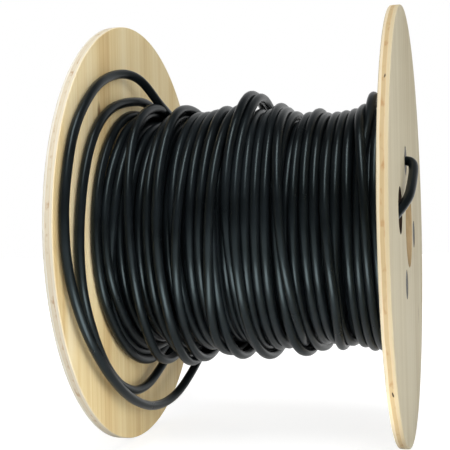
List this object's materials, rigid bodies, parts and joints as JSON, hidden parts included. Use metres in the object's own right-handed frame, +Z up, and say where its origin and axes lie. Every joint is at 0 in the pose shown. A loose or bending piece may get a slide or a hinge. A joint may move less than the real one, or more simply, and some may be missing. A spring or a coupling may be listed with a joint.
{
  "type": "wooden cable drum",
  "caption": "Plywood cable drum lying on its rims: round flanges on a paper core held by tie rods, wound with black round cable, with slack turns and a cable start.",
  "frame": {"origin": "on the floor, below the middle of the drum", "axes": "+X along the drum's axis towards the flange with the cable's start hole, +Z up, -Y towards the viewer"},
  "size_m": [0.2847, 0.3999, 0.4],
  "materials": {
    "plywood": "sanded, unsealed",
    "paper_core": "wound paper board",
    "zinc_steel": "dull zinc",
    "cable_jacket": "satin extruded"
  },
  "bodies": {
    "root": {"flange_plain": "plywood", "flange_holed": "plywood", "core_tube": "paper_core", "tie_rod_1": "zinc_steel", "tie_rod_2": "zinc_steel", "tie_rod_3": "zinc_steel", "rod_nut_plain_1": "zinc_steel", "rod_nut_plain_2": "zinc_steel", "rod_nut_plain_3": "zinc_steel", "rod_nut_holed_1": "zinc_steel", "rod_nut_holed_2": "zinc_steel", "rod_nut_holed_3": "zinc_steel", "cable_winding": "cable_jacket", "slack_turn_long": "cable_jacket", "slack_turn_short": "cable_jacket", "cable_tail": "cable_jacket"}
  },
  "joints": []
}
